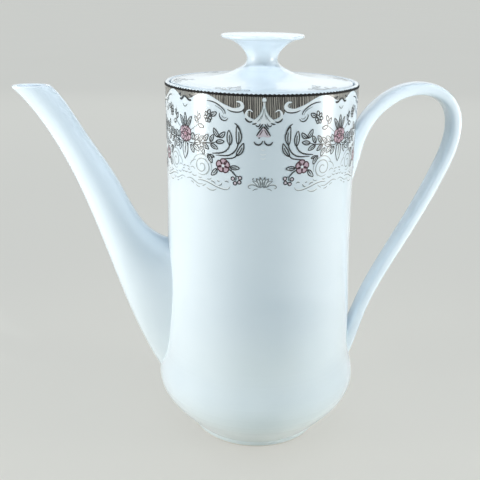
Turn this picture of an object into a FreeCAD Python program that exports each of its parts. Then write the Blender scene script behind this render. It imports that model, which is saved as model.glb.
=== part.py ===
"""Tall porcelain coffee pot: cast body, spout, strap handle, inset lid, lid knob and lid lock lug.

Millimetres, +Z up. The origin is the centre of the foot ring on the table.
The spout points along -X and the handle along +X.
"""
import FreeCAD, Part
import math
import os

from FreeCAD import Vector

# Pot body, outer profile: radii and heights from the foot to the rim
foot_radius = 36.6
foot_height = 3.4
foot_ring_width = 2.8
foot_recess = 2.6
foot_edge_round = 0.7
tuck_radius = 46.3
tuck_height = 12.9
bulge_radius = 56.2
bulge_height = 31.0
hip_radius = 53.4
hip_height = 45.5
flank_radius = 52.2
flank_height = 61.0
waist_radius = 50.5
waist_height = 105.0
neck_radius = 49.9
neck_drop = 33.0
rim_radius = 50.2
rim_height = 198.0

# Pot body, inside
wall = 3.5
floor_thickness = 4.6
floor_corner = 9.0

# Lid seat inside the rim: a thin lip round a flat ledge
lip_thickness = 2.4
seat_depth = 2.9
ledge_width = 4.2
ledge_thickness = 3.0

# Lid
lid_clearance = 0.6
lid_edge_round = 0.9
lid_wall = 3.4
lid_flat_radius = 31.0
lid_flat_rise = 1.2
lid_flare_radius = 18.5
lid_flare_rise = 3.3
collar_clearance = 0.6
collar_thickness = 3.0
collar_depth = 14.5

# Lid knob, heights above its joint with the lid
knob_joint_radius = 12.6
knob_joint_rise = 6.0
knob_neck_radius = 8.0
knob_neck_rise = 5.8
knob_flare_radius = 11.6
knob_flare_rise = 11.2
knob_radius = 21.3
knob_rise = 17.2
knob_edge = 2.0
knob_crown = 0.4

# Lock lug on the lid's collar, and the notch that lets it through the ledge
lug_width = 12.0
lug_height = 4.0
lug_reach = 2.4
lug_drop = 1.0
lug_clearance = 0.8

# Spout, measured from the body's waist outwards
spout_wall = 2.3
spout_root_inset = 12.6
spout_root_low = 22.0
spout_root_high = 112.0
spout_root_width = 33.0
spout_reach = 77.4
spout_mouth_height = 195.6
spout_mouth_length = 20.0
spout_mouth_width = 14.6
spout_throat_reach = 49.5
spout_throat_drop = 25.1
spout_throat_depth = 15.6
spout_throat_width = 15.0
spout_throat_tilt = 31.0
spout_lip_tilt = 52.0
spout_lip_round = 0.8
spout_heel = 5.4
spout_heel_reach = 10.2
spout_heel_rise = 29.0
spout_chin_inset = 7.4
spout_chin_drop = 7.8
spout_hollow = 0.3
spout_crotch_reach = 6.4
spout_crotch_rise = 4.0
spout_throat_share = 0.85
spout_taper = 1.2
spout_fullness = 0.5
spout_fuller_length_share = 0.4
spout_slant = 1.2
spout_spare = 5.0
spout_shares = (0, 0.1, 0.22, 0.35, 0.5, 0.65, 0.78, 0.88, 0.95, 1)
pour_hole_radius = 11.0
pour_hole_height = 66.0

# Handle strap, measured from the body's neck outwards and from the rim down
handle_reach = 56.2
handle_crest_reach = 35.4
handle_crest_drop = 4.1
handle_bend_inset = 4.2
handle_bend_drop = 11.4
handle_turn_drop = 27.0
handle_rise_reach = 5.2
handle_rise_drop = 24.6
handle_root_drop = 40.5
handle_slope_inset = 5.4
handle_slope_drop = 20.5
handle_heel_reach = 5.2
handle_heel_rise = 16.0
handle_foot_reach = 2.4
handle_foot_rise = 7.0
handle_bury = 12.0
handle_width_top = 13.0
handle_width_foot = 11.2
handle_thickness_top = 7.0
handle_thickness_foot = 5.8
handle_flare = 1.2
handle_flare_length = 40.0
handle_square = 5.0
handle_stations = 24

# Control points round each spout and handle section
ring_points = 16

# Closeness of arcs to the curve they follow, and for finding edges by place
arc_closeness = 0.1
inside_closeness = 0.4
straight_radius = 5000.0
tiny = 0.001

# Heights and radii that several pieces share
ledge_height = rim_height - seat_depth
ledge_root_height = ledge_height - ledge_thickness - ledge_width
lip_radius = rim_radius - lip_thickness
ledge_radius = lip_radius - ledge_width
lid_radius = lip_radius - lid_clearance
collar_radius = ledge_radius - collar_clearance
knob_joint_height = rim_height + knob_joint_rise
floor_height = foot_recess + floor_thickness
neck_height = rim_height - neck_drop


def at(x, z):
    """A point of the XZ plane."""
    return Vector(x, 0, z)


def mid(a, b):
    return (a + b) * 0.5


def spline(points, start=None, end=None):
    """A smooth curve through the points, with optional end directions."""
    curve = Part.BSplineCurve()
    if start is None:
        curve.interpolate(points)
    else:
        curve.interpolate(points, InitialTangent=start, FinalTangent=end)
    return curve


def line(a, b):
    return Part.LineSegment(a, b).toShape()


def rounds(curve, closeness):
    """The curve as a chain of tangent arcs, which turn into plain rings. A nearly straight arc is a line."""
    edges = []
    for piece in curve.toBiArcs(closeness):
        bowed = hasattr(piece, "Radius") and piece.Radius < straight_radius
        edges.append(piece.toShape() if bowed else line(piece.StartPoint, piece.EndPoint))
    return edges


def chain(points):
    """Straight edges from each point to the next."""
    return [line(a, b) for a, b in zip(points, points[1:])]


def corner_arc(before, corner, after):
    """A quarter round between two points, bulging towards the square corner."""
    centre = before + after - corner
    radius = before.distanceToPoint(centre)
    middle = centre + (corner - centre).normalize() * radius
    return Part.Arc(before, middle, after).toShape()


def half_round(a, b, top):
    return Part.Arc(a, top, b).toShape()


def revolve(edges):
    """A solid turned from a closed profile in the XZ plane about the Z axis."""
    face = Part.Face(Part.Wire(edges))
    return face.revolve(Vector(0, 0, 0), Vector(0, 0, 1), 360)


def one_solid(shape):
    """The largest solid that a boolean leaves."""
    return max(shape.Solids, key=lambda solid: solid.Volume)


def body_curve():
    """The outer side of the pot from the top of the foot ring to the rim."""
    return spline([
        at(foot_radius + foot_edge_round, foot_height),
        at(tuck_radius, tuck_height),
        at(bulge_radius, bulge_height),
        at(hip_radius, hip_height),
        at(flank_radius, flank_height),
        at(waist_radius, waist_height),
        at(neck_radius, neck_height),
        at(rim_radius, rim_height - lip_thickness / 2),
    ])


def place_at(curve, height):
    """The parameter where a rising curve passes a height."""
    low, high = curve.FirstParameter, curve.LastParameter
    for _ in range(40):
        half = (low + high) / 2
        if curve.value(half).z < height:
            low = half
        else:
            high = half
    return low


def inset(curve, height, depth):
    """The point that lies square to the curve, a depth inside the point at a height."""
    place = place_at(curve, height)
    along = curve.tangent(place)[0]
    return curve.value(place) + Vector(-along.z, 0, along.x) * depth


def body_envelope():
    """The pot as a full solid, which trims what is luted to its outer side."""
    curve = body_curve()
    crease, top = curve.StartPoint, curve.EndPoint
    edges = rounds(curve, arc_closeness) + chain([top, at(0, top.z), at(0, 0), at(crease.x, 0), crease])
    return revolve(Part.__sortEdges__(edges))


def body_inside():
    """The inner profile from the ledge down the wall, round the corner and across the floor."""
    outer = body_curve()
    tuck = inset(outer, tuck_height + wall, wall)
    floor_edge = at(tuck.x - floor_corner, floor_height)
    heights = (bulge_height, hip_height, flank_height, waist_height, neck_height)
    wall_points = [inset(outer, z, wall) for z in heights]
    wall_top = at(inset(outer, ledge_root_height, wall).x, ledge_root_height)
    return spline([floor_edge, tuck] + wall_points + [wall_top], at(1, 0), at(0, 1))


def make_body():
    """The cast pot: foot ring, wall, floor, half-round rim and the ledge that the lid sits on."""
    outer, inner = body_curve(), body_inside()
    crease, rim_outer = outer.StartPoint, outer.EndPoint
    rim_inner = at(lip_radius, rim_outer.z)
    rim_top = at(rim_radius - lip_thickness / 2, rim_height)
    foot_side = at(foot_radius, foot_edge_round)
    foot_outer = at(foot_radius - foot_edge_round, 0)
    foot_inner = at(foot_radius - foot_ring_width, 0)
    recess_edge = at(foot_inner.x - foot_recess / 2, foot_recess)
    ledge_lip = at(ledge_radius, ledge_height - ledge_thickness)
    edges = rounds(outer, arc_closeness) + [half_round(rim_outer, rim_inner, rim_top)]
    edges += chain([rim_inner, at(lip_radius, ledge_height), at(ledge_radius, ledge_height),
                    ledge_lip, inner.EndPoint])
    edges += rounds(inner, inside_closeness)
    edges += chain([inner.StartPoint, at(0, floor_height), at(0, foot_recess), recess_edge,
                    foot_inner, foot_outer])
    edges += [corner_arc(foot_outer, at(foot_radius, 0), foot_side), line(foot_side, crease)]
    body = revolve(Part.__sortEdges__(edges))
    notch_half = lug_width / 2 + lug_clearance
    notch_depth = collar_radius + lug_reach + lug_clearance
    notch = Part.makeBox(notch_depth, 2 * notch_half, seat_depth + ledge_thickness + ledge_width,
                         Vector(-notch_depth, -notch_half, ledge_root_height))
    hole = Part.makeCylinder(pour_hole_radius, bulge_radius, Vector(0, 0, pour_hole_height), Vector(-1, 0, 0))
    return one_solid(body.cut(notch).cut(hole))


def spout_outlines():
    """The spout's lower and upper outlines in the XZ plane, from inside the body to the mouth."""
    root_low = at(-(hip_radius - spout_heel), spout_root_low)
    root_high = at(-(waist_radius - spout_root_inset), spout_root_high)
    crotch = at(-(waist_radius + spout_crotch_reach), spout_root_high + spout_crotch_rise)
    heel = at(-(hip_radius + spout_heel_reach), spout_root_low + spout_heel_rise)
    tilt = math.radians(spout_throat_tilt)
    throat = at(-(waist_radius + spout_throat_reach), spout_mouth_height - spout_throat_drop)
    half_throat = at(math.cos(tilt), math.sin(tilt)) * (spout_throat_depth / 2)
    throat_low, throat_high = throat - half_throat, throat + half_throat
    lip = at(-(waist_radius + spout_reach), spout_mouth_height)
    back = lip + at(spout_mouth_length, 0)
    turn = math.radians(spout_lip_tilt)
    past = at(-math.sin(turn), math.cos(turn)) * spout_spare
    chin = lip + at(spout_chin_inset, -spout_chin_drop)
    ridge = mid(crotch, throat_high) - at(spout_hollow, spout_hollow)
    lower = spline([root_low, heel, throat_low, chin, lip, lip + past])
    upper = spline([root_high, crotch, ridge, throat_high, back, back + past])
    return lower, upper


def spout_width(share):
    """Width across the spout at a share of its length: it tapers to the throat, then runs to the mouth."""
    taper = max(0.0, 1 - share / spout_throat_share) ** spout_taper
    past = max(0.0, share - spout_throat_share) / (1 - spout_throat_share)
    slim = spout_throat_width + (spout_mouth_width - spout_throat_width) * past
    return slim + (spout_root_width - spout_throat_width) * taper


def skin_over(rings):
    """A solid skinned smoothly over closed rings of control points, capped flat at both ends."""
    places = [0.0]
    for before, after in zip(rings, rings[1:]):
        gaps = [a.distanceToPoint(b) for a, b in zip(before, after)]
        places.append(places[-1] + sum(gaps) / len(gaps))
    threads = []
    for thread in zip(*rings):
        curve = Part.BSplineCurve()
        curve.interpolate(list(thread), Parameters=places)
        threads.append(curve)
    first = threads[0]
    poles = [[curve.getPole(k) for curve in threads] for k in range(1, first.NbPoles + 1)]
    around = len(threads)
    sheet = Part.BSplineSurface()
    sheet.buildFromPolesMultsKnots(poles, first.getMultiplicities(), [1] * (around + 1), first.getKnots(),
                                   list(range(around + 1)), False, True, first.Degree, 3)
    side = sheet.toShape()
    ends = [sheet.uIso(place).toShape() for place in (first.FirstParameter, first.LastParameter)]
    shell = Part.Compound([side] + [Part.Face(Part.Wire(end)) for end in ends])
    shell.sewShape()
    solid = Part.makeSolid(shell.Shells[0])
    if solid.Volume < 0:
        solid.reverse()
    return solid


def ring_of(centre, up, side, half_up, half_side, power, fuller=0.0):
    """Control points of a closed ring: an ellipse for a power of 2, squarer for a higher one, fuller on top."""
    step = 2 * math.pi / ring_points
    spread = 3 / (2 + math.cos(step))
    points = []
    for k in range(ring_points):
        c, s = math.cos(k * step), math.sin(k * step)
        out = spread / (abs(c) ** power + abs(s) ** power) ** (1 / power)
        points.append(centre + up * (half_up * out * c) + side * (half_side * out * s * (1 + fuller * c)))
    return points


def spout_form(skin):
    """The spout's outer form, or its bore where the skin is the wall, run into the body and past the mouth."""
    lower, upper = spout_outlines()
    side = Vector(0, 1, 0)
    rings = []
    for share in spout_shares:
        low = lower.value(lower.parameterAtDistance(lower.length() * share))
        high = upper.value(upper.parameterAtDistance(upper.length() * share))
        half = low.distanceToPoint(high) / 2 - skin * spout_slant
        fuller = spout_fullness * max(0.0, 1 - share / spout_fuller_length_share)
        rings.append(ring_of(mid(low, high), (high - low).normalize(), side, half,
                             spout_width(share) / 2 - skin, 2, fuller))
    return skin_over(rings)


def make_spout(envelope):
    """The hollow spout, trimmed to the pot's side and cut level at the mouth."""
    box_side = 4 * spout_reach
    above = Part.makeBox(box_side, box_side, box_side, Vector(-box_side, -box_side / 2, spout_mouth_height))
    tube = spout_form(0).cut(spout_form(spout_wall)).cut(envelope).cut(above)
    spout = one_solid(tube)
    mouth_edges = [e for e in spout.Edges if abs(e.BoundBox.ZMin - spout_mouth_height) < tiny]
    return one_solid(spout.makeFillet(spout_lip_round, mouth_edges))


def handle_path():
    """The handle's middle line in the XZ plane, from inside the neck over the crest to inside the hip."""
    right = neck_radius + handle_reach
    crest = at(neck_radius + handle_crest_reach, rim_height - handle_crest_drop)
    bend = at(right - handle_bend_inset, rim_height - handle_bend_drop)
    turn = at(right, rim_height - handle_turn_drop)
    root = at(neck_radius, rim_height - handle_root_drop)
    foot = at(hip_radius + handle_foot_reach, hip_height + handle_foot_rise)
    rise = at(neck_radius + handle_rise_reach, rim_height - handle_rise_drop)
    slope_top = at(right - handle_slope_inset, turn.z - handle_slope_drop)
    slope_foot = at(foot.x + handle_heel_reach, foot.z + handle_heel_rise)
    root_end = at(root.x - handle_bury, root.z - 2 * handle_bury)
    foot_end = at(foot.x - handle_bury, foot.z - 2 * handle_bury)
    return spline([root_end, root, rise, crest, bend, turn, slope_top, mid(slope_top, slope_foot),
                   slope_foot, foot, foot_end])


def make_handle(envelope):
    """The strap handle, lofted along its path and trimmed to the pot's side."""
    path = handle_path()
    length = path.length()
    side = Vector(0, 1, 0)
    straps = []
    for k in range(handle_stations):
        share = k / (handle_stations - 1)
        place = path.parameterAtDistance(length * share)
        width = handle_width_top + (handle_width_foot - handle_width_top) * share
        thickness = handle_thickness_top + (handle_thickness_foot - handle_thickness_top) * share
        to_end = min(share, 1 - share) * length - handle_bury
        flare = handle_flare * max(0.0, 1 - to_end / handle_flare_length) ** 2
        along = path.tangent(place)[0]
        across = Vector(-along.z, 0, along.x)
        straps.append(ring_of(path.value(place), across, side,
                              thickness / 2 + flare, width / 2 + flare, handle_square))
    return one_solid(skin_over(straps).cut(envelope))


def make_lid():
    """The inset lid: a shallow dish that sweeps up to the knob, with a collar that drops into the mouth."""
    r = lid_edge_round
    joint = at(knob_joint_radius, knob_joint_height)
    edge_top, edge_side = at(lid_radius - r, rim_height), at(lid_radius, rim_height - r)
    edge_foot, edge_under = at(lid_radius, ledge_height + r), at(lid_radius - r, ledge_height)
    top = spline([edge_top, at(lid_flat_radius, rim_height + lid_flat_rise),
                  at(lid_flare_radius, rim_height + lid_flare_rise), joint])
    collar_foot = ledge_height - collar_depth
    collar_inside = collar_radius - collar_thickness
    half = collar_thickness / 2
    under_edge = at(collar_inside, ledge_height)
    under_middle = at(lid_flat_radius, rim_height + lid_flat_rise - lid_wall)
    crown = at(0, rim_height + lid_flare_rise - lid_wall)
    under = spline([crown, under_middle, under_edge], at(1, 0), under_edge - under_middle)
    edges = rounds(top, arc_closeness) + [line(joint, at(0, joint.z)), line(at(0, joint.z), crown)]
    edges += rounds(under, inside_closeness)
    edges += chain([under_edge, at(collar_inside, collar_foot + half)])
    edges += [half_round(at(collar_inside, collar_foot + half), at(collar_radius, collar_foot + half),
                         at(collar_radius - half, collar_foot))]
    edges += chain([at(collar_radius, collar_foot + half), at(collar_radius, ledge_height), edge_under])
    edges += [corner_arc(edge_under, at(lid_radius, ledge_height), edge_foot), line(edge_foot, edge_side),
              corner_arc(edge_side, at(lid_radius, rim_height), edge_top)]
    return one_solid(revolve(Part.__sortEdges__(edges)))


def make_knob():
    """The trumpet knob with a thin flat top, luted on the lid's middle."""
    base = knob_joint_height
    joint = at(knob_joint_radius, base)
    half = knob_edge / 2
    edge_z = base + knob_rise - half
    under, over = at(knob_radius - half, edge_z - half), at(knob_radius - half, edge_z + half)
    lower = spline([joint, at(knob_neck_radius, base + knob_neck_rise),
                    at(knob_flare_radius, base + knob_flare_rise), under])
    crown = at(0, over.z + knob_crown)
    ball = (over.x ** 2 + knob_crown ** 2) / (2 * knob_crown)
    lean = math.asin(over.x / ball) / 2
    slope = at(ball * math.sin(lean), crown.z - ball + ball * math.cos(lean))
    edges = rounds(lower, arc_closeness) + [half_round(under, over, at(knob_radius, edge_z))]
    edges += [Part.Arc(over, slope, crown).toShape()] + chain([crown, at(0, base), joint])
    return one_solid(revolve(Part.__sortEdges__(edges)))


def make_lug():
    """The small pad on the collar that hooks under the ledge once the lid is turned."""
    top = ledge_root_height - lug_drop
    pad = Part.makeBox(collar_radius + lug_reach, lug_width, lug_height,
                       Vector(-collar_radius - lug_reach, -lug_width / 2, top - lug_height))
    reach = Part.makeCylinder(collar_radius + lug_reach, lug_height, Vector(0, 0, top - lug_height))
    collar = Part.makeCylinder(collar_radius, lug_height, Vector(0, 0, top - lug_height))
    return one_solid(pad.common(reach).cut(collar))


def main():
    envelope = body_envelope()
    pieces = {
        "pot_body": make_body(),
        "spout": make_spout(envelope),
        "handle": make_handle(envelope),
        "lid": make_lid(),
        "lid_knob": make_knob(),
        "lid_lock_lug": make_lug(),
    }
    os.makedirs("parts", exist_ok=True)
    for name, solid in pieces.items():
        solid.exportStep(os.path.join("parts", name + ".step"))
        print(name, solid.isValid(), round(solid.Volume))


main()
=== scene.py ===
import math

import bpy
from mathutils import Matrix, Quaternion, Vector
from mathutils.bvhtree import BVHTree


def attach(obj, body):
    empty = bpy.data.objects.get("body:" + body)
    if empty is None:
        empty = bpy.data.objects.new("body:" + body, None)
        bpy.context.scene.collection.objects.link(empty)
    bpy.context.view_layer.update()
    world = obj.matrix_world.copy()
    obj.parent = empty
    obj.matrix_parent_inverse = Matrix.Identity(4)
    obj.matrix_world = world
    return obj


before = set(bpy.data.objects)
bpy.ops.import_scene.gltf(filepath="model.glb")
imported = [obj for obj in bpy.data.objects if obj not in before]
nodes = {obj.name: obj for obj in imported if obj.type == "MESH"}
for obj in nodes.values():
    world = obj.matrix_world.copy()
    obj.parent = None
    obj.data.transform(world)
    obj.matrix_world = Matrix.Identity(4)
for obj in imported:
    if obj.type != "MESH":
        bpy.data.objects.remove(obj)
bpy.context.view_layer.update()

MM = 0.001

# The printed border is drawn flat in millimetres: u runs along the wall from the
# middle of a motif, v runs down from the rim. Then it is laid on the pot.
RIM_HEIGHT = 198.0
PRINT_RADIUS = 50.0
# From the middle of a motif to the middle of the bouquet beside it
BOUQUET_U = 42.3
# Where the front motif stands, in degrees from straight ahead
FRONT_DEGREES = -6.4
# The two halves of a motif lie this far apart in the hatching's own coordinates
HATCH_OFFSET = 100.0

# How far each layer of the print stands off the glaze
LIFT_GROUND = 0.05
LIFT_WHITE = 0.08
LIFT_FILL = 0.10
LIFT_LINE = 0.13
LIFT_EYE = LIFT_LINE + 0.03

# In metres: where the rays that look for the wall start, and the room left free at the handle
WALL_RAY = 0.09
HANDLE_CLEARANCE = 0.0012

# The black line on the rim, below the rim: its edges between beads, and how far a bead moves each
LINE_TOP = 0.8
LINE_BOTTOM = 1.7
BEAD_RISE = 0.35
BEAD_DROP = 0.15

# The sprays on the lid: the radius at their outer edge, their number and the first one's angle
LID_PRINT_RADIUS = 47.0
SPRAYS = 6
FIRST_SPRAY_DEGREES = 40
# In metres: the height that the rays fall from to the lid, and how far
LID_RAY_TOP = 0.23
LID_RAY_FALL = 0.06
# How steeply the normals stand on the lid's gently sloping top
LID_RISE = 13.5


def tree_of(node):
    """A search tree over a node's faces, for rays and distances."""
    return BVHTree.FromObject(nodes[node], bpy.context.evaluated_depsgraph_get())


pot_tree = tree_of("pot_body")
handle_tree = tree_of("handle")
lid_tree = tree_of("lid")


# Flat drawing: paths and shapes


def smooth_path(points, step):
    """A flowing line through the points, cut into short even steps."""
    cuts = 12
    shortest = 0.05
    pts = [Vector(p) for p in points]
    ends = [pts[0] * 2 - pts[1]] + pts + [pts[-1] * 2 - pts[-2]]
    fine = []
    for a, b, c, d in zip(ends, ends[1:], ends[2:], ends[3:]):
        for i in range(cuts):
            t = i / cuts
            fine.append(0.5 * (2 * b + (c - a) * t + (2 * a - 5 * b + 4 * c - d) * t * t
                               + (3 * b - a - 3 * c + d) * t ** 3))
    fine.append(pts[-1])
    out, walked = [fine[0]], 0.0
    for p, q in zip(fine, fine[1:]):
        walked += (q - p).length
        if walked >= step:
            out.append(q)
            walked = 0.0
    if (out[-1] - fine[-1]).length > shortest:
        out.append(fine[-1])
    return out


def arc_path(centre, radius, start, end, squash=1.0, count=14):
    """Points on a round or oval arc, with angles in degrees, 0 to the right and 90 down."""
    out = []
    for i in range(count + 1):
        a = math.radians(start + (end - start) * i / count)
        out.append((centre[0] + radius * math.cos(a), centre[1] + radius * squash * math.sin(a)))
    return out


def spiral_path(centre, outer, inner, start, turns):
    """Points on a spiral that winds in from the outer radius, with its start in degrees."""
    count = 40
    out = []
    for i in range(count + 1):
        t = i / count
        a = math.radians(start + 360 * turns * t)
        r = outer + (inner - outer) * t
        out.append((centre[0] + r * math.cos(a), centre[1] + r * math.sin(a)))
    return out


class Sheet:
    """One colour of the print: flat polygons that are laid on the pot later."""

    def __init__(self, name, lift, boldness=1.0):
        self.name, self.lift, self.boldness = name, lift, boldness
        self.groups = []

    def add(self, points, faces, lift=None):
        self.groups.append((points, faces, lift or self.lift))


def side_of(line, i):
    """The direction across a line at its point i."""
    along = line[min(i + 1, len(line) - 1)] - line[max(i - 1, 0)]
    return Vector((-along.y, along.x)).normalized()


def ribbon_shape(left, right):
    """The strip of faces between two edges."""
    points = []
    for a, b in zip(left, right):
        points += [a, b]
    faces = [(2 * i, 2 * i + 1, 2 * i + 3, 2 * i + 2) for i in range(len(left) - 1)]
    return points, faces


def stroke(sheet, points, width, taper=(0.35, 0.35), step=0.55):
    """A pen stroke that swells in the middle and thins to its ends."""
    line = smooth_path(points, step)
    count = len(line) - 1
    width *= sheet.boldness
    left, right = [], []
    for i, p in enumerate(line):
        side = side_of(line, i)
        t = i / max(count, 1)
        swell = math.sin(math.pi * t)
        end = taper[0] * (1 - t) + taper[1] * t
        half = width / 2 * (end + (1 - end) * swell ** 0.6)
        left.append(p + side * half)
        right.append(p - side * half)
    sheet.add(*ribbon_shape(left, right))


def disc(sheet, centre, radius, squash=1.0, lift=None):
    """A filled round spot."""
    edge = [Vector(p) for p in arc_path(centre, radius, 0, 360, squash)[:-1]]
    count = len(edge)
    faces = [(0, 1 + i, 1 + (i + 1) % count) for i in range(count)]
    sheet.add([Vector(centre)] + edge, faces, lift)


def ring(sheet, centre, radius, width):
    """A round outline."""
    outer = [Vector(p) for p in arc_path(centre, radius + width / 2, 0, 360, count=16)]
    inner = [Vector(p) for p in arc_path(centre, radius - width / 2, 0, 360, count=16)]
    sheet.add(*ribbon_shape(outer, inner))


def leaf_sides(tip, foot, width, bend):
    """Both edges and the spine of an almond leaf, from foot to tip."""
    count = 10
    tip, foot = Vector(tip), Vector(foot)
    along = tip - foot
    side = Vector((-along.y, along.x)).normalized()
    left, right, middle = [], [], []
    for i in range(count + 1):
        t = i / count
        spine = foot + along * t + side * (bend * math.sin(math.pi * t))
        half = width / 2 * math.sin(math.pi * t ** 0.85) ** 0.8
        left.append(spine + side * half)
        right.append(spine - side * half)
        middle.append(spine)
    return left, right, middle


def leaf(tip, foot, width, bend=0.0, fill=None, line=None, weight=0.42, vein=True, shade=False):
    """An almond leaf: pale fill, pen outline and a vein, with one half shaded if asked."""
    fill, line = fill or sheets["leaf"], line or sheets["ink"]
    left, right, middle = leaf_sides(tip, foot, width, bend)
    fill.add(*ribbon_shape(left, right))
    for edge in (left, right):
        stroke(line, edge, weight, (0.9, 0.6), 0.5)
    if vein:
        stroke(line, middle[:8], weight * 0.8, (1.0, 0.2), 0.5)
    if shade:
        half = [(a + b) / 2 for a, b in zip(right, middle)]
        sheets["shade"].add(*ribbon_shape(half[1:8], middle[1:8]))


def petal(centre, angle, reach, width, weight):
    """A rounded pink petal that grows from the flower's centre, with a maroon outline."""
    a = math.radians(angle)
    out, across = Vector((math.cos(a), math.sin(a))), Vector((-math.sin(a), math.cos(a)))
    base = Vector(centre) + out * (reach * 0.18)
    left, right = [], []
    for i in range(9):
        t = i / 8
        half = width / 2 * (0.25 + 0.75 * math.sin(math.pi * min(1.0, 0.12 + 0.62 * t)))
        if t > 0.7:
            half *= math.sqrt(max(0.0, 1 - ((t - 0.7) / 0.3) ** 2)) * 0.92 + 0.08
        spine = base + out * (reach * 0.82 * t)
        left.append(spine + across * half)
        right.append(spine - across * half)
    sheets["pink"].add(*ribbon_shape(left, right))
    stroke(sheets["maroon"], left + right[::-1], weight, (0.9, 0.9), 0.5)


def blossom(centre, size):
    """The small five-petal blossom with its white eye."""
    c = Vector(centre)
    for angle, share in ((-96, 1.0), (-20, 1.06), (50, 0.95), (128, 1.04), (200, 0.98)):
        petal(centre, angle, size * share, size * 0.9, 0.46)
    for angle in (-58, 14, 90, 164, 232):
        a = math.radians(angle)
        out = Vector((math.cos(a), math.sin(a)))
        stroke(sheets["maroon"], [c + out * size * 0.2, c + out * size * 0.5], 0.36, (1, 0.4), 0.4)
    disc(sheets["white"], centre, size * 0.2, lift=LIFT_EYE)


def rose(centre):
    """The main flower: two rounds of petals about a folded heart."""
    for angle, reach, width in ((-154, 4.4, 3.8), (-28, 4.3, 3.9), (148, 4.6, 3.6), (34, 4.5, 3.5),
                                (-92, 3.6, 4.5), (88, 3.9, 4.6)):
        petal(centre, angle, reach, width, 0.32)
    c = Vector(centre)
    for r, a0, a1 in ((1.1, -200, 60), (1.9, -20, 170), (2.3, 160, 330)):
        stroke(sheets["maroon"], [Vector(p) for p in arc_path(c, r, a0, a1, 0.85)], 0.34, (0.5, 0.5), 0.4)
    disc(sheets["rose"], c, 1.15, 0.85)


sheets = {
    "ground": Sheet("print_ground", LIFT_GROUND),
    "white": Sheet("print_white", LIFT_WHITE),
    "leaf": Sheet("print_leaf", LIFT_FILL),
    "shade": Sheet("print_leaf_shade", LIFT_FILL + 0.015),
    "pink": Sheet("print_pink", LIFT_FILL),
    "rose": Sheet("print_rose", LIFT_FILL + 0.015),
    "blush": Sheet("print_blush", LIFT_FILL),
    "faint": Sheet("print_faint", LIFT_LINE - 0.02, 1.3),
    "grey": Sheet("print_grey", LIFT_LINE - 0.01, 1.3),
    "ink": Sheet("print_ink", LIFT_LINE, 1.42),
    "maroon": Sheet("print_maroon", LIFT_LINE + 0.01, 1.35),
}


# The motifs of half a repeat, from the pendant in the middle to the bouquet


def ground_depth(u):
    """How far the hatched ground hangs down below the rim line at u."""
    marks = ((0.0, 4.6), (0.7, 6.4), (1.4, 9.2), (2.4, 10.6), (3.4, 11.6), (4.6, 12.0), (5.6, 11.8),
             (6.8, 11.0), (7.8, 9.6), (8.6, 9.9), (9.3, 10.0), (9.8, 8.0), (10.6, 7.4), (12.5, 7.5),
             (14.5, 7.3), (16.5, 6.6), (19.0, 5.7), (21.5, 4.5), (24.0, 3.2), (27.0, 2.0), (30.0, 1.6),
             (33.0, 2.2), (36.0, 3.4), (38.5, 4.8), (40.0, 4.6), (41.2, 4.0), (42.3, 3.7))
    for (a, p), (b, q) in zip(marks, marks[1:]):
        if a <= u <= b:
            return p + (q - p) * (u - a) / (b - a)
    return marks[-1][1]


def hatched_ground():
    """The dark ground under the rim line, in narrow upright strips."""
    count = 84
    rows = 5
    top = 1.0
    for i in range(count):
        u0, u1 = BOUQUET_U * i / count, BOUQUET_U * (i + 1) / count
        points = []
        for j in range(rows + 1):
            for u in (u0, u1):
                points.append(Vector((u, top + (ground_depth(u) - top) * j / rows)))
        faces = [(2 * j, 2 * j + 1, 2 * j + 3, 2 * j + 2) for j in range(rows)]
        sheets["ground"].add(points, faces)


def white_band(points, widths):
    """A white scroll over the ground, as wide as the widths say from end to end."""
    line = smooth_path(points, 0.5)
    count = len(line) - 1
    left, right = [], []
    for i, p in enumerate(line):
        side = side_of(line, i)
        t = i / count * (len(widths) - 1)
        k = min(int(t), len(widths) - 2)
        half = (widths[k] + (widths[k + 1] - widths[k]) * (t - k)) / 2
        left.append(p + side * half)
        right.append(p - side * half)
    sheets["white"].add(*ribbon_shape(left, right))


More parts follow.
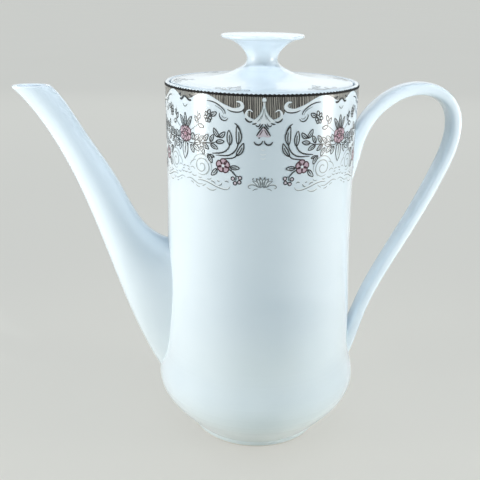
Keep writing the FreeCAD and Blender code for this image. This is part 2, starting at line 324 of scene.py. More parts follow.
def half_scrolls():
    """The white scrolls over the hatched ground, with their pen lines."""
    ink, grey = sheets["ink"], sheets["grey"]
    # Inner scroll beside the pendant
    white_band([(5.2, 8.7), (6.4, 7.9), (7.6, 8.4), (8.2, 9.8), (7.8, 11.4), (6.6, 12.4), (5.2, 12.6)],
               (0.3, 0.7, 1.0, 1.3, 1.4, 1.2, 0.6))
    stroke(ink, [(5.3, 13.0), (6.4, 13.4), (7.8, 12.8), (8.7, 11.6)], 0.6)
    stroke(ink, [(6.0, 8.5), (6.8, 8.3), (7.4, 8.8)], 0.3)
    stroke(grey, [(7.5, 9.2), (7.4, 10.3), (6.7, 11.2)], 0.3)
    # Middle scroll, a fat comma that curls over the ground
    white_band([(12.9, 4.3), (11.4, 4.3), (10.3, 5.2), (10.1, 6.6), (11.2, 7.8), (13.2, 8.2), (15.4, 7.9),
                (17.2, 7.4)], (0.4, 1.0, 1.6, 2.1, 2.2, 1.8, 1.3, 0.9))
    stroke(ink, [(9.3, 7.4), (10.2, 8.5), (11.6, 9.0), (13.4, 9.1), (15.4, 8.8), (17.2, 8.1)], 0.45)
    stroke(grey, [(12.4, 4.9), (11.6, 5.6), (11.9, 6.6), (13.0, 7.0)], 0.3)
    # Long sweep to the outer side
    white_band([(16.8, 7.7), (19.4, 6.6), (22.0, 5.2), (24.6, 4.0), (28.0, 3.3)], (0.9, 1.2, 1.2, 1.0, 0.4))
    stroke(ink, [(18.3, 10.1), (18.5, 9.0), (19.6, 7.7), (21.2, 6.5), (23.2, 5.5), (25.4, 4.9),
                 (28.0, 4.7)], 0.42, (0.6, 0.2))
    stroke(grey, [(19.0, 10.4), (19.8, 8.8), (21.4, 7.6), (23.6, 6.6)], 0.26, (0.5, 0.2))
    # Hooked curl under the sweep
    stroke(ink, [(16.9, 12.0), (17.6, 13.0), (18.8, 13.4), (20.0, 13.0), (20.9, 12.0), (21.3, 10.8),
                 (21.0, 9.9)], 0.42, (0.4, 0.2))
    stroke(grey, [(17.6, 11.6), (18.4, 12.2), (19.4, 11.9), (20.0, 11.0)], 0.28)


def half_leaves():
    """The leaves on tendrils, the sprays, the blossom and its berries."""
    ink = sheets["ink"]
    # Three tall leaves on tendrils
    leaf((12.6, 15.6), (11.9, 24.2), 2.6, -0.7, shade=True)
    stroke(ink, [(10.5, 19.4), (11.2, 16.9), (12.3, 15.3), (13.7, 14.2)], 0.55, (0.6, 0.3))
    stroke(ink, [(11.9, 24.0), (12.5, 26.0), (13.9, 28.0), (15.8, 29.3), (18.0, 29.9), (23.2, 30.1)], 0.5,
           (0.9, 0.2))
    leaf((16.5, 17.6), (15.9, 24.8), 2.4, -0.1, shade=True)
    stroke(ink, [(15.9, 24.6), (16.8, 26.5), (18.5, 28.0), (21.0, 28.9), (25.2, 29.4)], 0.5, (0.9, 0.2))
    leaf((9.3, 23.3), (12.6, 29.6), 2.2, -0.5, shade=True, weight=0.45)
    stroke(ink, [(12.5, 29.4), (14.0, 30.6), (16.0, 31.1), (18.6, 31.3)], 0.45, (0.9, 0.2))
    # Spray of leaves inside the tendrils
    leaf((18.4, 18.6), (21.4, 21.4), 1.9, -0.3)
    leaf((24.3, 17.2), (21.6, 21.4), 1.9, 0.3)
    leaf((18.7, 23.2), (23.1, 23.8), 1.9, shade=True)
    leaf((24.3, 20.4), (26.1, 24.0), 1.8, 0.2)
    leaf((27.3, 20.5), (29.6, 24.1), 1.9, 0.2)
    leaf((22.0, 27.1), (26.1, 25.0), 1.9, shade=True)
    leaf((27.0, 27.7), (30.6, 25.1), 1.8, shade=True)
    stroke(ink, [(23.0, 23.8), (26.0, 24.6), (30.4, 24.8), (33.6, 25.4)], 0.36, (0.8, 0.5))
    # Upper spray under the sweep
    leaf((22.7, 9.8), (25.9, 11.3), 1.9, -0.2)
    for tip, foot in (((26.4, 8.7), (26.9, 11.0)), ((28.9, 9.9), (27.5, 11.6)),
                      ((29.8, 12.2), (27.9, 12.4)), ((28.8, 14.6), (27.5, 13.1)),
                      ((26.7, 14.9), (27.0, 13.1)), ((25.4, 13.3), (26.7, 12.3))):
        leaf(tip, foot, 1.5, 0.1, vein=False)
    stroke(ink, [(25.8, 11.3), (26.8, 12.0), (27.3, 13.2)], 0.34, (0.8, 0.8))
    # Leaves by the blossom
    leaf((25.3, 34.2), (27.7, 30.1), 2.0, 0.2, shade=True)
    leaf((23.9, 31.3), (26.6, 30.2), 0.9, vein=False)
    leaf((11.0, 35.5), (15.8, 35.4), 1.9, shade=True)
    leaf((25.7, 40.2), (22.5, 36.7), 2.1, 0.2)
    stroke(ink, [(16.4, 36.2), (14.8, 37.3), (13.6, 38.5), (12.8, 39.4)], 0.5, (0.6, 0.6))
    for x, y in ((10.8, 40.2), (14.3, 40.7), (11.1, 42.3), (13.2, 42.9)):
        disc(sheets["blush"], (x, y), 0.85)
        ring(ink, (x, y), 0.85, 0.52)
    stroke(ink, [(12.9, 39.2), (12.7, 40.4), (12.9, 41.6)], 0.34, (0.6, 0.6))
    stroke(ink, [(12.8, 39.4), (11.8, 39.5), (11.2, 39.9)], 0.3, (0.6, 0.6))
    blossom((19.3, 34.9), 3.45)


def relief_line(points, sheet, width):
    """A pen line with a white edge above it, as raised work looks."""
    stroke(sheets["white"], [(u, v - 0.45) for u, v in points], 0.6)
    stroke(sheet, points, width)


def half_border():
    """The faint grey scrollwork along the lower edge and beside the bouquet."""
    faint, grey = sheets["faint"], sheets["grey"]
    stroke(faint, spiral_path((31.4, 36.5), 4.8, 1.0, 128, 1.55), 0.4, (0.5, 0.7))
    stroke(faint, arc_path((31.4, 36.5), 5.8, 165, 345), 0.36)
    stroke(faint, [(27.0, 36.2), (27.4, 38.2), (28.8, 40.0), (31.0, 40.8), (33.6, 40.2)], 0.3)
    relief_line([(15.7, 44.8), (16.6, 46.1), (18.6, 46.5), (21.6, 45.9), (24.4, 45.0), (27.6, 43.9),
                 (30.8, 43.4), (33.6, 43.6)], grey, 0.36)
    for dash in ([(16.4, 42.8), (17.4, 42.3), (18.4, 42.6)], [(19.9, 43.4), (20.4, 44.4), (21.6, 44.9)],
                 [(21.2, 42.9), (22.4, 42.5)], [(23.4, 44.1), (24.6, 43.2), (25.8, 43.1)]):
        relief_line(dash, grey, 0.44)
    relief_line([(22.8, 46.8), (24.6, 47.6), (26.6, 47.5), (28.4, 46.6)], faint, 0.4)
    for dash in ([(25.6, 41.6), (26.6, 42.4), (28.0, 42.3)], [(28.6, 44.9), (29.6, 45.6), (30.9, 46.3)],
                 [(32.4, 47.0), (33.8, 46.9), (35.0, 46.2)], [(36.4, 46.0), (37.4, 45.2), (38.6, 45.1)],
                 [(31.2, 42.0), (32.4, 42.4), (33.4, 42.0)], [(38.0, 40.4), (39.2, 41.2), (40.6, 41.0)]):
        stroke(faint, dash, 0.36)
    stroke(faint, [(30.6, 45.2), (33.0, 45.6), (35.4, 44.8), (37.6, 43.8), (39.6, 43.5), (41.6, 44.1)], 0.36)
    stroke(faint, [(34.6, 41.5), (36.2, 42.0), (37.8, 41.4)], 0.36)
    stroke(faint, [(35.0, 33.8), (36.8, 34.3), (38.4, 35.6), (39.0, 37.2)], 0.34)
    stroke(faint, [(35.6, 38.6), (37.2, 37.6), (38.8, 38.2)], 0.34)


def half_bouquet():
    """One side of the bouquet, and the ends of the arch above it."""
    ink, grey, faint = sheets["ink"], sheets["grey"], sheets["faint"]
    # Leaves that stand above the flower and hang at its side
    leaf((37.6, 13.2), (40.7, 18.9), 1.9, 0.3, shade=True)
    leaf((29.7, 17.2), (33.0, 16.4), 1.8, -0.3, vein=False)
    stroke(grey, [(33.3, 9.6), (33.6, 12.2), (33.2, 14.6), (33.4, 16.4), (35.6, 18.0), (38.4, 20.0)], 0.34)
    leaf((32.2, 11.2), (33.2, 14.2), 1.3, vein=False)
    leaf((35.2, 12.6), (33.8, 15.6), 1.3, vein=False)
    for tip, foot, width in (((32.8, 21.2), (35.6, 24.4), 2.2), ((36.6, 20.8), (37.0, 24.4), 2.2),
                             ((31.8, 25.4), (36.0, 25.6), 2.2), ((32.8, 29.4), (36.6, 26.6), 2.3),
                             ((36.4, 30.6), (38.4, 26.8), 2.2)):
        leaf(tip, foot, width, 0.2, weight=0.36)
    stroke(ink, [(33.2, 25.3), (36.0, 25.9), (38.8, 26.0), (41.0, 25.4)], 0.34)
    leaf((29.6, 30.6), (32.2, 26.8), 2.0, 0.2, weight=0.36)
    leaf((30.2, 21.6), (32.6, 24.6), 1.7, 0.2, weight=0.36)
    # Ends of the arch in the upper ground
    stroke(ink, [(36.2, 3.4), (37.8, 3.7), (39.0, 2.9)], 0.6)
    stroke(ink, [(37.6, 5.5), (39.0, 5.7), (40.3, 5.0), (41.3, 4.3), (42.3, 4.1)], 0.75, (0.7, 0.6))
    stroke(grey, [(40.4, 7.6), (41.4, 8.6), (42.3, 9.0)], 0.4)
    stroke(faint, [(39.6, 38.6), (40.6, 37.9), (41.8, 38.1)], 0.42)
    stroke(faint, [(39.2, 39.6), (40.8, 39.4)], 0.42)


def bouquet_middle():
    """The main flower with the leaves above and below it."""
    leaf((BOUQUET_U, 11.8), (BOUQUET_U, 18.6), 1.9, shade=True)
    leaf((BOUQUET_U - 0.6, 34.6), (BOUQUET_U, 25.2), 4.0, weight=0.36)
    stroke(sheets["ink"], [(BOUQUET_U - 2.6, 27.0), (BOUQUET_U - 0.4, 25.6), (BOUQUET_U + 2.4, 27.2)], 0.4)
    rose((BOUQUET_U, 21.8))
    stroke(sheets["faint"], [(BOUQUET_U - 1.4, 40.8), (BOUQUET_U, 41.2), (BOUQUET_U + 1.2, 40.7)], 0.42)


def half_pendant():
    """One half of the trumpet and heart that hang in the middle of the repeat, and of the lily below."""
    ink, grey = sheets["ink"], sheets["grey"]
    left = [Vector((0.0, v)) for v in (4.6, 6.0, 7.5, 9.0, 10.5, 12.0, 13.6, 14.4)]
    right = [Vector(p) for p in ((0.35, 4.6), (0.6, 6.0), (1.0, 7.5), (1.6, 9.0), (2.6, 10.5), (4.0, 11.9),
                                 (5.4, 13.0), (3.4, 14.4))]
    sheets["white"].add(*ribbon_shape(left, right))
    stroke(grey, [(0.5, 5.4), (0.9, 7.2), (1.7, 9.2), (3.0, 10.9), (4.8, 12.4)], 0.3)
    stroke(grey, [(0.2, 7.0), (0.5, 9.6), (1.2, 12.0)], 0.28)
    stroke(grey, [(0.9, 10.0), (1.8, 11.8), (3.0, 13.2)], 0.28)
    stroke(ink, [(3.3, 13.7), (4.2, 14.2), (5.4, 14.3)], 0.5)
    stroke(ink, [(1.6, 13.9), (2.2, 15.2), (3.2, 15.3), (3.7, 14.6)], 0.42)
    stroke(ink, [(0.5, 14.2), (1.3, 15.4), (2.3, 16.6)], 0.5, (0.6, 0.4))
    edge = [Vector(p) for p in ((0.0, 15.4), (0.9, 16.5), (1.9, 17.8), (2.9, 19.2), (3.3, 20.1), (2.2, 20.4),
                                (1.0, 20.3))]
    middle = [Vector((0.0, v)) for v in (15.4, 16.3, 17.2, 18.1, 19.0, 19.6, 20.0)]
    sheets["blush"].add(*ribbon_shape(middle, edge))
    stroke(ink, [(0.1, 15.3), (1.1, 16.5), (2.2, 18.0), (3.3, 19.8)], 0.5, (0.8, 0.4))
    stroke(sheets["maroon"], [(0.2, 16.9), (1.0, 18.0), (1.9, 19.6)], 0.32)
    stroke(ink, [(0.3, 21.9), (0.9, 23.3), (2.2, 24.0), (3.6, 23.6), (4.4, 22.5)], 0.58)
    # Pale water lily at the lower edge
    for tip, foot, width, bend in (((1.3, 39.2), (0.4, 44.3), 1.3, -0.3),
                                   ((3.0, 40.0), (0.9, 44.3), 1.3, -0.5),
                                   ((4.8, 41.2), (1.6, 44.4), 1.2, -0.6)):
        leaf(tip, foot, width, bend, sheets["white"], grey, 0.28, False)
    for dash in ([(0.8, 39.6), (1.3, 40.8)], [(2.5, 40.1), (2.9, 41.3)], [(4.3, 39.8), (4.7, 40.8)]):
        stroke(ink, dash, 0.36)
    curl = [(0.4, 44.6), (2.2, 44.2), (3.6, 43.4), (5.2, 43.2), (6.6, 43.8), (6.6, 44.8), (5.6, 45.0)]
    relief_line(curl, grey, 0.36)
    stroke(grey, [(2.0, 45.1), (3.4, 45.3), (4.6, 46.1)], 0.3)


def pendant_middle():
    """The pearl over the trumpet, and the dot and pale arcs under it."""
    disc(sheets["white"], (0.0, 3.2), 1.0, 1.1)
    disc(sheets["white"], (0.0, 4.6), 0.5)
    stroke(sheets["grey"], [(-0.6, 3.9), (0.0, 4.2), (0.6, 3.9)], 0.3)
    disc(sheets["ink"], (-2.0, 20.7), 0.36)
    for v, half in ((26.0, 1.2), (28.2, 1.5), (30.2, 1.3)):
        stroke(sheets["white"], [(-half, v), (0.0, v + 0.5), (half, v - 0.1)], 0.6)


def repeat_of(draw):
    """The flat shapes that one drawing function adds, taken out again."""
    for sheet in sheets.values():
        sheet.groups = []
    draw()
    return {key: list(sheet.groups) for key, sheet in sheets.items()}


def draw_half():
    """Everything in half a repeat, apart from what stands on its two middles."""
    hatched_ground()
    half_scrolls()
    half_pendant()
    half_leaves()
    half_border()
    half_bouquet()


half_shapes = repeat_of(draw_half)
pendant_shapes = repeat_of(pendant_middle)
bouquet_shapes = repeat_of(bouquet_middle)


# The flat drawing is laid on the pot


def on_wall(angle, v, lift):
    """The place on the pot's wall at an angle from the front, v millimetres below the rim."""
    out = Vector((math.sin(angle), -math.cos(angle), 0))
    start = out * WALL_RAY + Vector((0, 0, (RIM_HEIGHT - v) * MM))
    hit = pot_tree.ray_cast(start, -out, WALL_RAY)[0]
    return hit + out * (lift * MM) if hit else None


def clear_of_handle(points):
    """Whether all the points keep their distance from the handle."""
    return all(handle_tree.find_nearest(p)[3] > HANDLE_CLEARANCE for p in points)


def add_facing(points_out, faces_out, places, faces, outward):
    """Adds a laid shape, with each face turned to the outward side."""
    first = len(points_out)
    points_out += places
    for face in faces:
        loop = [first + i for i in face]
        a, b, c = (places[i] for i in face[:3])
        if (b - a).cross(c - a).dot(outward(a)) < 0:
            loop.reverse()
        faces_out.append(loop)


# For each sheet: points, faces and flat coordinates
laid = {key: ([], [], []) for key in sheets}


def lay(shapes, centre, scale, side, origin=0.0):
    """Wraps flat shapes round the wall, mirrored if side is -1, except those at the handle's root."""
    for key, groups in shapes.items():
        points_out, faces_out, flat_out = laid[key]
        for points, faces, lift in groups:
            places = []
            for p in points:
                turn = centre + side * (p.x - origin) * scale / PRINT_RADIUS
                places.append(on_wall(turn, p.y, lift))
            if None in places or not clear_of_handle(places):
                continue
            flat_out += [(p.x + HATCH_OFFSET * (1 if side > 0 else 2), p.y) for p in points]
            add_facing(points_out, faces_out, places, faces, lambda p: Vector((p.x, p.y, 0)))


# Half a repeat's angle, at front and back and then at the sides
wide = BOUQUET_U / PRINT_RADIUS
narrow = math.pi / 2 - wide
front = math.radians(FRONT_DEGREES)
for quarter in range(4):
    centre = front + quarter * math.pi / 2
    scale = 1.0 if quarter % 2 == 0 else narrow / wide
    for side in (1, -1):
        lay(half_shapes, centre, scale, side)
    lay(pendant_shapes, centre, scale, 1)
for turn in (wide, math.pi - wide, math.pi + wide, -wide):
    lay(bouquet_shapes, front + turn, 1.0, 1, BOUQUET_U)


def mesh_piece(name, points, faces, body, flat=None, rise=0.0):
    """A thin printed piece, shaded as smoothly as the wall under it. The rise is 0 on an upright wall."""
    mesh = bpy.data.meshes.new(name)
    mesh.from_pydata([tuple(p) for p in points], [], faces)
    if flat:
        layer = mesh.uv_layers.new(name="print")
        for loop in mesh.loops:
            layer.data[loop.index].uv = flat[loop.vertex_index]
    for polygon in mesh.polygons:
        polygon.use_smooth = True
    mesh.update()
    normals = [Vector((p.x, p.y, 0)).normalized() + Vector((0, 0, rise)) for p in points]
    mesh.normals_split_custom_set_from_vertices([n.normalized() for n in normals])
    piece = bpy.data.objects.new(name, mesh)
    bpy.context.scene.collection.objects.link(piece)
    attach(piece, body)
    return piece


prints = {}
for key, sheet in sheets.items():
    points_out, faces_out, flat_out = laid[key]
    prints[key] = mesh_piece(sheet.name, points_out, faces_out, "pot", flat_out)


# The beaded black line round the rim


def rim_line():
    """A narrow band that swells into a bead at even steps."""
    beads = 150
    per_bead = 8
    rows = 7
    count = beads * per_bead
    points, faces = [], []
    for i in range(count):
        a = 2 * math.pi * i / count
        wave = math.sin(math.pi * i / per_bead) ** 2
        top = LINE_TOP - BEAD_RISE * wave
        bottom = LINE_BOTTOM + BEAD_DROP * wave
        for k in range(rows):
            points.append(on_wall(a, top + (bottom - top) * k / (rows - 1), LIFT_LINE))
    for i in range(count):
        j = (i + 1) % count
        for k in range(rows - 1):
            faces.append((rows * i + k, rows * i + k + 1, rows * j + k + 1, rows * j + k))
    return mesh_piece("rim_line", points, faces, "pot")


prints["rim"] = rim_line()


# The pale sprays on the lid, near its edge


def on_lid(angle, inward, lift):
    """The place on the lid's top at an angle from the front, inward from the sprays' outer edge."""
    radius = (LID_PRINT_RADIUS - inward) * MM
    start = Vector((math.sin(angle) * radius, -math.cos(angle) * radius, LID_RAY_TOP))
    hit = lid_tree.ray_cast(start, Vector((0, 0, -1)), LID_RAY_FALL)[0]
    return hit + Vector((0, 0, lift * MM)) if hit else None


def spray():
    """One spray, with its stem along the lid's edge and a twig inward."""
    grey = sheets["grey"]
    stroke(grey, [(-6.5, 2.6), (-3.4, 1.6), (0.0, 1.4), (3.4, 1.8), (6.5, 1.2)], 0.4)
    stroke(grey, [(-0.6, 1.5), (-1.4, 4.2), (-0.4, 7.0), (1.2, 9.2)], 0.34)
    for tip, foot in (((-5.6, 5.0), (-3.0, 1.8)), ((4.4, 5.2), (2.6, 1.8)), ((-4.0, 7.4), (-1.1, 5.2)),
                      ((3.4, 7.4), (-0.3, 7.0)), ((1.9, 11.4), (1.1, 9.2))):
        leaf(tip, foot, 1.8, 0.2, line=grey, weight=0.26, vein=False)
    stroke(grey, spiral_path((-8.0, 3.2), 1.6, 0.4, -20, 1.2), 0.34)
    stroke(grey, spiral_path((8.2, 2.4), 1.6, 0.4, 170, 1.2), 0.34)


def lid_sprays():
    """The sprays round the lid, as one piece for each colour."""
    shapes = repeat_of(spray)
    made = {}
    for key in ("grey", "leaf"):
        points_out, faces_out = [], []
        for k in range(SPRAYS):
            centre = front + math.radians(FIRST_SPRAY_DEGREES + 360 / SPRAYS * k)
            for points, faces, lift in shapes[key]:
                places = [on_lid(centre + p.x / LID_PRINT_RADIUS, p.y, lift) for p in points]
                if None not in places:
                    add_facing(points_out, faces_out, places, faces, lambda p: Vector((0, 0, 1)))
        made[key] = mesh_piece("lid_" + sheets[key].name, points_out, faces_out, "lid", None, LID_RISE)
    return made


lid_prints = lid_sprays()


# Materials

GLAZE_ROUGHNESS = 0.2
BARE_ROUGHNESS = 0.7
# In metres: the foot ring is bare below the first height and fully glazed above the second
BARE_BELOW = 0.0006
GLAZED_ABOVE = 0.0009
# The hatching turns paler between these distances from the motif's middle
PALER_FROM = 20.0
PALER_TO = 31.0
PALER_SHARE = 0.45


def new_material(name):
    """A material made of nodes, with its nodes, its links and its main shader."""
    material = bpy.data.materials.new(name)
    material.use_nodes = True
    tree = material.node_tree
    return material, tree.nodes, tree.links, tree.nodes["Principled BSDF"]


def noise_of(tree_nodes, links, source, scale, detail=2.0, stretch=None):
    """Soft mottling, stretched along the axes if asked."""
    noise = tree_nodes.new("ShaderNodeTexNoise")
    noise.inputs["Scale"].default_value = scale
    noise.inputs["Detail"].default_value = detail
    if stretch:
        mapping = tree_nodes.new("ShaderNodeMapping")
        mapping.inputs["Scale"].default_value = stretch
        links.new(source, mapping.inputs["Vector"])
        source = mapping.outputs["Vector"]
    links.new(source, noise.inputs["Vector"])
    return noise


def ramp_of(tree_nodes, links, value, stops):
    """Turns a value into a colour between the stops."""
    ramp = tree_nodes.new("ShaderNodeValToRGB")
    ramp.color_ramp.elements[0].position, ramp.color_ramp.elements[0].color = stops[0]
    ramp.color_ramp.elements[1].position, ramp.color_ramp.elements[1].color = stops[-1]
    for position, colour in stops[1:-1]:
        ramp.color_ramp.elements.new(position).color = colour
    links.new(value, ramp.inputs["Fac"])
    return ramp


def glaze_finish(shader):
    """The gloss that the porcelain and the print under the glaze have in common."""
    shader.inputs["Roughness"].default_value = GLAZE_ROUGHNESS
    shader.inputs["IOR"].default_value = 1.52
    shader.inputs["Coat Weight"].default_value = 0.6
    shader.inputs["Coat Roughness"].default_value = 0.16


def porcelain():
    """Cool white glaze, faintly uneven, bare and matt where the foot ring stands."""
    material, n, links, shader = new_material("porcelain_glaze")
    place = n.new("ShaderNodeTexCoord").outputs["Object"]
    body = noise_of(n, links, place, 28.0)
    colour = ramp_of(n, links, body.outputs["Fac"], (
        (0.35, (0.745, 0.830, 0.895, 1)), (0.65, (0.770, 0.850, 0.911, 1))))
    split = n.new("ShaderNodeSeparateXYZ")
    links.new(place, split.inputs["Vector"])
    bare = n.new("ShaderNodeMapRange")
    bare.inputs["From Min"].default_value = GLAZED_ABOVE
    bare.inputs["From Max"].default_value = BARE_BELOW
    links.new(split.outputs["Z"], bare.inputs["Value"])
    mix = n.new("ShaderNodeMix")
    mix.data_type = "RGBA"
    mix.inputs["B"].default_value = (0.72, 0.69, 0.63, 1)
    links.new(bare.outputs["Result"], mix.inputs["Factor"])
    links.new(colour.outputs["Color"], mix.inputs["A"])
    links.new(mix.outputs["Result"], shader.inputs["Base Color"])
    glaze_finish(shader)
    rough = n.new("ShaderNodeMapRange")
    rough.inputs["To Min"].default_value = GLAZE_ROUGHNESS
    rough.inputs["To Max"].default_value = BARE_ROUGHNESS
    links.new(bare.outputs["Result"], rough.inputs["Value"])
    links.new(rough.outputs["Result"], shader.inputs["Roughness"])
    ripple = noise_of(n, links, place, 60.0, 1.0)
    bump = n.new("ShaderNodeBump")
    bump.inputs["Strength"].default_value = 0.04
    bump.inputs["Distance"].default_value = 0.0004
    links.new(ripple.outputs["Fac"], bump.inputs["Height"])
    links.new(bump.outputs["Normal"], shader.inputs["Normal"])
    return material


def ink_material(name, light, dark, grain=900.0, matt=False):
    """Print colour under the glaze, a little uneven like a transfer, or matt paint on top of it."""
    material, n, links, shader = new_material(name)
    place = n.new("ShaderNodeTexCoord").outputs["Object"]
    noise = noise_of(n, links, place, grain)
    colour = ramp_of(n, links, noise.outputs["Fac"], ((0.3, (*dark, 1)), (0.7, (*light, 1))))
    links.new(colour.outputs["Color"], shader.inputs["Base Color"])
    glaze_finish(shader)
    if matt:
        shader.inputs["Roughness"].default_value = 0.6
        shader.inputs["Coat Weight"].default_value = 0.0
        shader.inputs["Specular IOR Level"].default_value = 0.2
    return material


def hatch_material():
    """Fine upright pen hatching, dark brown-grey with lighter gaps."""
    material, n, links, shader = new_material("print_hatch")
    flat = n.new("ShaderNodeUVMap")
    flat.uv_map = "print"
    streaks = noise_of(n, links, flat.outputs["UV"], 1.0, 3.0, (2.2, 0.05, 1.0))
    pen = n.new("ShaderNodeTexWave")
    pen.inputs["Scale"].default_value = 0.38
    pen.inputs["Distortion"].default_value = 1.6
    pen.inputs["Detail Scale"].default_value = 0.6
    links.new(flat.outputs["UV"], pen.inputs["Vector"])
    blend = n.new("ShaderNodeMix")
    blend.inputs["Factor"].default_value = 0.36
    links.new(streaks.outputs["Fac"], blend.inputs["A"])
    links.new(pen.outputs["Fac"], blend.inputs["B"])
    colour = ramp_of(n, links, blend.outputs["Result"], (
        (0.39, (0.010, 0.009, 0.009, 1)), (0.49, (0.046, 0.040, 0.036, 1)),
        (0.58, (0.150, 0.134, 0.116, 1)), (0.67, (0.540, 0.510, 0.450, 1))))
    along = n.new("ShaderNodeSeparateXYZ")
    links.new(flat.outputs["UV"], along.inputs["Vector"])
    from_motif = n.new("ShaderNodeMath")
    from_motif.operation = "MODULO"
    from_motif.inputs[1].default_value = HATCH_OFFSET
    links.new(along.outputs["X"], from_motif.inputs[0])
    paler = n.new("ShaderNodeMapRange")
    paler.inputs["From Min"].default_value = PALER_FROM
    paler.inputs["From Max"].default_value = PALER_TO
    paler.inputs["To Max"].default_value = PALER_SHARE
    links.new(from_motif.outputs["Value"], paler.inputs["Value"])
    mix = n.new("ShaderNodeMix")
    mix.data_type = "RGBA"
    mix.inputs["B"].default_value = (0.33, 0.33, 0.31, 1)
    links.new(paler.outputs["Result"], mix.inputs["Factor"])
    links.new(colour.outputs["Color"], mix.inputs["A"])
    links.new(mix.outputs["Result"], shader.inputs["Base Color"])
    glaze_finish(shader)
    return material


glaze = porcelain()
for node in nodes.values():
    node.data.materials.clear()
    node.data.materials.append(glaze)
    for polygon in node.data.polygons:
        polygon.use_smooth = True

finish_of = {
    "ground": hatch_material(),
    "white": ink_material("print_white_relief", (0.90, 0.945, 0.975), (0.81, 0.865, 0.90), 300.0),
    "leaf": ink_material("print_leaf_wash", (0.73, 0.80, 0.85), (0.63, 0.70, 0.74), 700.0),
    "shade": ink_material("print_leaf_dark", (0.40, 0.45, 0.47), (0.28, 0.32, 0.34)),
    "pink": ink_material("print_pink_wash", (0.62, 0.46, 0.53), (0.50, 0.35, 0.42), 700.0),
    "rose": ink_material("print_rose_heart", (0.46, 0.27, 0.33), (0.36, 0.19, 0.25), 700.0),
    "blush": ink_material("print_blush_wash", (0.74, 0.66, 0.72), (0.64, 0.55, 0.62), 500.0),
    "grey": ink_material("print_grey_line", (0.26, 0.30, 0.31), (0.18, 0.21, 0.22)),
    "faint": ink_material("print_faint_line", (0.44, 0.49, 0.50), (0.30, 0.34, 0.35), 420.0),
    "ink": ink_material("print_dark_line", (0.040, 0.044, 0.048), (0.018, 0.020, 0.022)),
    "maroon": ink_material("print_maroon_line", (0.085, 0.030, 0.042), (0.045, 0.014, 0.022)),
    "rim": ink_material("rim_black", (0.010, 0.009, 0.009), (0.005, 0.005, 0.005), matt=True),
}
for key, piece in prints.items():
    piece.data.materials.append(finish_of[key])
for key, piece in lid_prints.items():
    piece.data.materials.append(finish_of[key])


# Floor, light and camera

PALE = (0.70, 0.695, 0.67)
# How much of the floor that the camera sees is evened out to the pale colour
FLOOR_EVENED = 0.65
# The sky as the camera sees it, which is how the far floor looks
SKY = (0.597, 0.613, 0.591)
# The sky and the sun as they light the pot
SKY_LIGHT = (0.55, 0.80, 1.0)
SKY_STRENGTH = 0.28
SUN_COLOUR = (0.91, 0.965, 1.0)
SUN_STRENGTH = 1.2
SUN_WIDTH = math.radians(80)
SUN_DIRECTION = Vector((-0.05, 0.05, -1.0))
# Colours of the lamps
WARM = (1.0, 0.965, 0.91)
COOL = (0.95, 0.98, 1.0)
STRAW = (1.0, 0.92, 0.60)
# The photo's viewpoint, from a fit to the rim, foot and outline, in pixels, metres and radians
PHOTO_PIXELS = 480
FOCAL_PIXELS = 721.34
CAMERA_DISTANCE = 0.382
CAMERA_HEIGHT = 0.2412
CAMERA_PITCH = math.radians(19)
CAMERA_PAN = -0.025927
CAMERA_ROLL = 0.013755
CAMERA_TURN = math.radians(8)


def background_rays(n, links):
    """1 for the rays that see the plain background: the camera's own, and those by way of gloss."""
    path = n.new("ShaderNodeLightPath")
    total = path.outputs["Is Camera Ray"]
    for kind in ("Is Glossy Ray", "Is Transmission Ray"):
        add = n.new("ShaderNodeMath")
        add.operation, add.use_clamp = "ADD", True
        links.new(total, add.inputs[0])
        links.new(path.outputs[kind], add.inputs[1])
        total = add.outputs["Value"]
    return total


def stage_floor():
    """A wide pale floor. The camera sees it evened out, with the pot's shadow still on it."""
    bpy.ops.mesh.primitive_circle_add(vertices=96, radius=14, fill_type="NGON", location=(0, 0, 0))
    floor = bpy.context.object
    floor.name = "floor"
    material, n, links, shader = new_material("pale_floor")
    place = n.new("ShaderNodeTexCoord").outputs["Object"]
    noise = noise_of(n, links, place, 3.0)
    colour = ramp_of(n, links, noise.outputs["Fac"], (
        (0.3, (0.72, 0.71, 0.62, 1)), (0.7, (0.74, 0.73, 0.64, 1))))
    links.new(colour.outputs["Color"], shader.inputs["Base Color"])
    shader.inputs["Roughness"].default_value = 0.85
    pale = n.new("ShaderNodeEmission")
    pale.inputs["Color"].default_value = (*PALE, 1)
    evened = n.new("ShaderNodeMath")
    evened.operation = "MULTIPLY"
    evened.inputs[1].default_value = FLOOR_EVENED
    links.new(background_rays(n, links), evened.inputs[0])
    mix = n.new("ShaderNodeMixShader")
    links.new(evened.outputs["Value"], mix.inputs["Fac"])
    links.new(shader.outputs["BSDF"], mix.inputs[1])
    links.new(pale.outputs["Emission"], mix.inputs[2])
    links.new(mix.outputs["Shader"], n["Material Output"].inputs["Surface"])
    floor.data.materials.append(material)


def hang(name, lamp, place, direction):
    """Puts a lamp into the scene, turned to shine in a direction."""
    light = bpy.data.objects.new(name, lamp)
    bpy.context.scene.collection.objects.link(light)
    light.location = place
    light.rotation_mode = "QUATERNION"
    light.rotation_quaternion = direction.to_track_quat("-Z", "Y")
    return light


def area_light(name, place, target, width, height, power, colour, spread=180, glint=True):
    """A soft window. Without glint it lights the pot but isn't mirrored in the glaze."""
    lamp = bpy.data.lights.new(name, "AREA")
    lamp.spread = math.radians(spread)
    lamp.shape, lamp.size, lamp.size_y = "RECTANGLE", width, height
    lamp.energy, lamp.color = power, colour
    light = hang(name, lamp, place, Vector(target) - Vector(place))
    light.visible_camera = False
    light.visible_glossy = glint


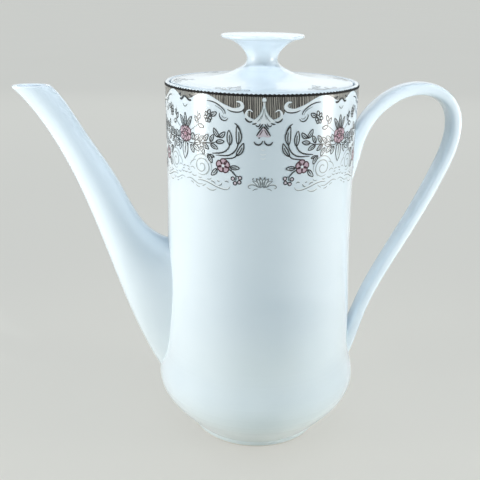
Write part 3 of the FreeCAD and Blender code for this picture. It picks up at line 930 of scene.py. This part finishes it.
def fill_light(name, place, target, width, height, lean, power, colour):
    """A narrow oval beam that only brightens a slender piece, so it leaves no glint of its own."""
    lamp = bpy.data.lights.new(name, "SPOT")
    aim = Vector(target) - Vector(place)
    lamp.energy, lamp.color = power, colour
    lamp.spot_size = 2 * math.atan(height / 2 / aim.length)
    lamp.spot_blend = 0.6
    lamp.shadow_soft_size = 0.15 * height
    light = hang(name, lamp, place, aim)
    light.visible_glossy = False
    light.rotation_quaternion = light.rotation_quaternion @ Quaternion((0, 0, 1), math.radians(lean))
    light.scale = (width / height, 1, 1)


def daylight():
    """A soft sun from above and a faint cool sky. The camera sees the sky as pale as the floor."""
    lamp = bpy.data.lights.new("soft_sun", "SUN")
    lamp.energy, lamp.angle, lamp.color = SUN_STRENGTH, SUN_WIDTH, SUN_COLOUR
    hang("soft_sun", lamp, (0, 0, 0), SUN_DIRECTION)
    world = bpy.data.worlds.new("daylight")
    world.use_nodes = True
    n, links = world.node_tree.nodes, world.node_tree.links
    back = n["Background"]
    back.inputs["Color"].default_value = (*SKY_LIGHT, 1)
    back.inputs["Strength"].default_value = SKY_STRENGTH
    seen = n.new("ShaderNodeBackground")
    seen.inputs["Color"].default_value = (*SKY, 1)
    choose = n.new("ShaderNodeMixShader")
    links.new(background_rays(n, links), choose.inputs["Fac"])
    links.new(back.outputs["Background"], choose.inputs[1])
    links.new(seen.outputs["Background"], choose.inputs[2])
    links.new(choose.outputs["Shader"], n["World Output"].inputs["Surface"])
    bpy.context.scene.world = world


def photo_camera():
    """The photo's own viewpoint."""
    pitch, pan, roll = CAMERA_PITCH, CAMERA_PAN, CAMERA_ROLL
    forward = Vector((math.sin(pan) * math.cos(pitch), math.cos(pan) * math.cos(pitch), -math.sin(pitch)))
    flat_right = Vector((math.cos(pan), -math.sin(pan), 0))
    flat_up = flat_right.cross(forward)
    right = flat_right * math.cos(roll) + flat_up * math.sin(roll)
    up = flat_up * math.cos(roll) - flat_right * math.sin(roll)
    axes = Matrix((right, up, -forward)).transposed().to_4x4()
    data = bpy.data.cameras.new("photo_camera")
    data.sensor_width = 36.0
    data.lens = data.sensor_width * FOCAL_PIXELS / PHOTO_PIXELS
    data.shift_x = -0.5 / PHOTO_PIXELS
    data.shift_y = 0.5 / PHOTO_PIXELS
    data.clip_start, data.clip_end = 0.02, 60
    camera = bpy.data.objects.new("photo_camera", data)
    bpy.context.scene.collection.objects.link(camera)
    stand = Matrix.Translation((0, -CAMERA_DISTANCE, CAMERA_HEIGHT))
    camera.matrix_world = Matrix.Rotation(-CAMERA_TURN, 4, "Z") @ stand @ axes
    bpy.context.scene.camera = camera


stage_floor()
area_light("left_window", (-0.59, -0.105, 0.18), (0, 0, 0.18),
           width=0.16, height=0.26, power=0.135, colour=WARM, spread=60)
area_light("right_window", (0.57, -0.185, 0.18), (0, 0, 0.18),
           width=0.15, height=0.26, power=0.125, colour=WARM, spread=60)
area_light("left_side", (-0.59, -0.105, 0.12), (0, 0, 0.12),
           width=0.2, height=0.2, power=0.24, colour=WARM, spread=60, glint=False)
area_light("right_side", (0.57, -0.185, 0.12), (0, 0, 0.12),
           width=0.2, height=0.2, power=0.25, colour=WARM, spread=60, glint=False)
area_light("back_window", (0.15, 1.3, 0.62), (0, 0, 0.15),
           width=1.6, height=0.7, power=2.0, colour=COOL)
fill_light("spout_fill", (-0.307, -0.596, 0.43), (-0.106, 0, 0.162),
           width=0.075, height=0.19, lean=28, power=5.4, colour=COOL)
fill_light("spout_top_fill", (0.2, -0.35, 0.6), (-0.097, 0, 0.172),
           width=0.05, height=0.13, lean=26, power=5.0, colour=COOL)
fill_light("lid_fill", (-0.05, -0.5, 0.75), (0.003, -0.01, 0.204),
           width=0.1, height=0.08, lean=0, power=10.0, colour=COOL)
fill_light("handle_fill", (0.299, -0.596, 0.421), (0.086, 0, 0.125),
           width=0.085, height=0.2, lean=0, power=6.6, colour=COOL)
fill_light("bow_fill", (0.1, -0.6, 0.42), (0.07, 0, 0.176),
           width=0.055, height=0.075, lean=0, power=4.4, colour=COOL)
fill_light("foot_fill", (0, -0.6, 0.05), (0, 0, 0.02),
           width=0.2, height=0.12, lean=0, power=1.2, colour=STRAW)
daylight()
photo_camera()
bpy.context.scene.view_settings.view_transform = "Standard"
